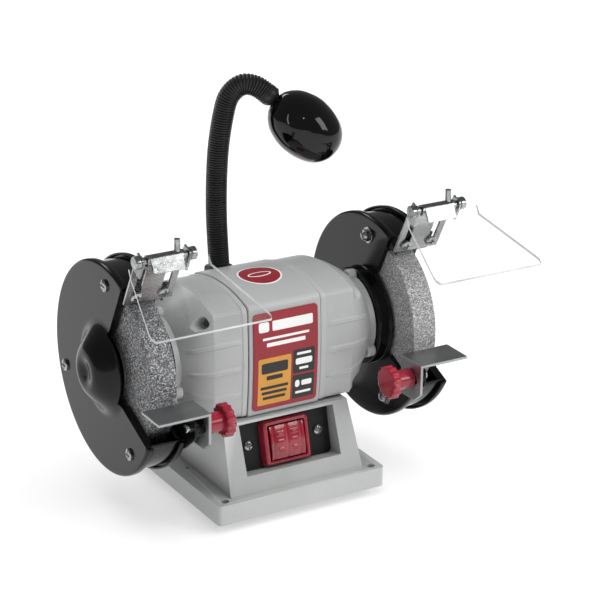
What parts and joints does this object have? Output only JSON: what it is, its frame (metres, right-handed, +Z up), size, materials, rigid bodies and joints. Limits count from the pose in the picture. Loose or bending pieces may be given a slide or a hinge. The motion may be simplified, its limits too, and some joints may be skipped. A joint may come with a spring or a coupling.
{
  "type": "bench grinder",
  "caption": "Twin-wheel bench grinder with guarded wheels, sliding tool rests, tilting clear eye shields, a rocker switch and a lamp on a flexible neck.",
  "frame": {"origin": "middle of the footprint box, on the bench", "axes": "+X along the shaft to the operator's right, -Y to the front where the tool rests are, +Z up"},
  "size_m": [0.3064, 0.2174, 0.2996],
  "materials": {
    "grey_paint": "satin light grey paint on cast metal",
    "black_gloss": "gloss black enamel on pressed steel",
    "black_paint": "satin black",
    "black_plastic": "moulded black plastic",
    "rubber": "soft black rubber",
    "capacitor_can": "drawn can",
    "red_plastic": "gloss red moulding",
    "zinc": "bright zinc plate",
    "laminations": "stacked sheet edges",
    "label_film": "printed film",
    "copper_wire": "enamelled winding",
    "bright_steel": "ground steel",
    "coarse_grit": "coarse bonded abrasive",
    "fine_grit": "fine bonded abrasive",
    "clear_sheet": "clear sheet",
    "corrugated_hose": "corrugated sleeve over a bendable core",
    "lamp_lens": "frosted lens"
  },
  "bodies": {
    "base": {"base_casting": "grey_paint", "bottom_cover": "black_plastic", "foot_front_left": "rubber", "foot_front_right": "rubber", "foot_rear_left": "rubber", "foot_rear_right": "rubber", "capacitor": "capacitor_can", "cord_gland": "rubber", "switch_plate": "black_paint", "switch_frame": "red_plastic", "switch_body": "black_plastic", "motor_shell": "grey_paint", "stator_core": "laminations", "nameplate": "label_film", "end_bell_left": "grey_paint", "winding_left": "copper_wire", "bearing_left": "bright_steel", "guard_inner_left": "black_gloss", "guard_band_left": "black_gloss", "guard_cover_left": "black_gloss", "bracket_screw_left_outer": "zinc", "bracket_screw_left_inner": "zinc", "end_bell_right": "grey_paint", "winding_right": "copper_wire", "bearing_right": "bright_steel", "guard_inner_right": "black_gloss", "guard_band_right": "black_gloss", "guard_cover_right": "black_gloss", "bracket_screw_right_outer": "zinc", "bracket_screw_right_inner": "zinc", "lamp_socket": "black_plastic"},
    "rotor": {"shaft": "bright_steel", "rotor_core": "laminations", "flange_inner_left": "bright_steel", "wheel_left": "coarse_grit", "flange_outer_left": "bright_steel", "arbor_nut_left": "zinc", "flange_inner_right": "bright_steel", "wheel_right": "fine_grit", "flange_outer_right": "bright_steel", "arbor_nut_right": "zinc"},
    "tool_rest_left": {"rest_left": "zinc"},
    "knob_left": {"rest_knob_left": "red_plastic"},
    "shield_bracket_left": {"bracket_left": "zinc", "shield_rod_left": "zinc"},
    "shield_left": {"eye_shield_left": "clear_sheet", "shield_clamp_left": "zinc"},
    "tool_rest_right": {"rest_right": "zinc"},
    "knob_right": {"rest_knob_right": "red_plastic"},
    "shield_bracket_right": {"bracket_right": "zinc", "shield_rod_right": "zinc"},
    "shield_right": {"eye_shield_right": "clear_sheet", "shield_clamp_right": "zinc"},
    "switch_rocker": {"rocker": "red_plastic"},
    "lamp_neck_1": {"neck_1": "corrugated_hose"},
    "lamp_neck_2": {"neck_2": "corrugated_hose"},
    "lamp_neck_3": {"neck_3": "corrugated_hose"},
    "lamp_neck_4": {"neck_4": "corrugated_hose"},
    "lamp_head": {"lamp_shade": "black_gloss", "lamp_lens": "lamp_lens"}
  },
  "joints": [
    {"name": "rotor_spin", "type": "hinge", "parent": "base", "child": "rotor", "pos_m": [0, 0.03041, 0.1139], "axis": [1, 0, 0], "continuous": true},
    {"name": "rest_left_slide", "type": "slide", "parent": "base", "child": "tool_rest_left", "axis": [0, -1, 0], "range_m": [-0.001, 0.006]},
    {"name": "knob_left_turn", "type": "hinge", "parent": "base", "child": "knob_left", "pos_m": [-0.075, -0.04659, 0.0922], "axis": [-1, 0, 0], "range_deg": [0, 360]},
    {"name": "bracket_left_slide", "type": "slide", "parent": "base", "child": "shield_bracket_left", "axis": [0, 0.4633, -0.8862], "range_m": [0, 0.01]},
    {"name": "shield_left_tilt", "type": "hinge", "parent": "shield_bracket_left", "child": "shield_left", "pos_m": [-0.1092, -0.03798, 0.21627], "axis": [-1, 0, 0], "range_deg": [-15, 75]},
    {"name": "rest_right_slide", "type": "slide", "parent": "base", "child": "tool_rest_right", "axis": [0, -1, 0], "range_m": [-0.001, 0.006]},
    {"name": "knob_right_turn", "type": "hinge", "parent": "base", "child": "knob_right", "pos_m": [0.075, -0.04659, 0.0922], "axis": [1, 0, 0], "range_deg": [0, 360]},
    {"name": "bracket_right_slide", "type": "slide", "parent": "base", "child": "shield_bracket_right", "axis": [0, 0.4633, -0.8862], "range_m": [0, 0.01]},
    {"name": "shield_right_tilt", "type": "hinge", "parent": "shield_bracket_right", "child": "shield_right", "pos_m": [0.1092, -0.03798, 0.21627], "axis": [-1, 0, 0], "range_deg": [-15, 75]},
    {"name": "rocker_tip", "type": "hinge", "parent": "base", "child": "switch_rocker", "pos_m": [0, -0.01206, 0.04844], "axis": [1, 0, 0], "range_deg": [-6, 6]},
    {"name": "lamp_swivel", "type": "hinge", "parent": "base", "child": "lamp_neck_1", "pos_m": [0, 0.08641, 0.1508], "axis": [0, 0, 1], "range_deg": [-90, 90]},
    {"name": "neck_bend_1", "type": "hinge", "parent": "lamp_neck_1", "child": "lamp_neck_2", "pos_m": [-0.00166, 0.08752, 0.196], "axis": [0.5578, 0.83, 0], "range_deg": [-20, 20]},
    {"name": "neck_bend_2", "type": "hinge", "parent": "lamp_neck_2", "child": "lamp_neck_3", "pos_m": [-0.00058, 0.0868, 0.24], "axis": [0.5578, 0.83, 0], "range_deg": [-20, 20]},
    {"name": "neck_bend_3", "type": "hinge", "parent": "lamp_neck_3", "child": "lamp_neck_4", "pos_m": [0.00332, 0.08418, 0.272], "axis": [0.5578, 0.83, 0], "range_deg": [-20, 20]},
    {"name": "lamp_head_tilt", "type": "hinge", "parent": "lamp_neck_4", "child": "lamp_head", "pos_m": [0.02988, 0.06633, 0.284], "axis": [0.5578, 0.83, 0], "range_deg": [-25, 25]}
  ]
}
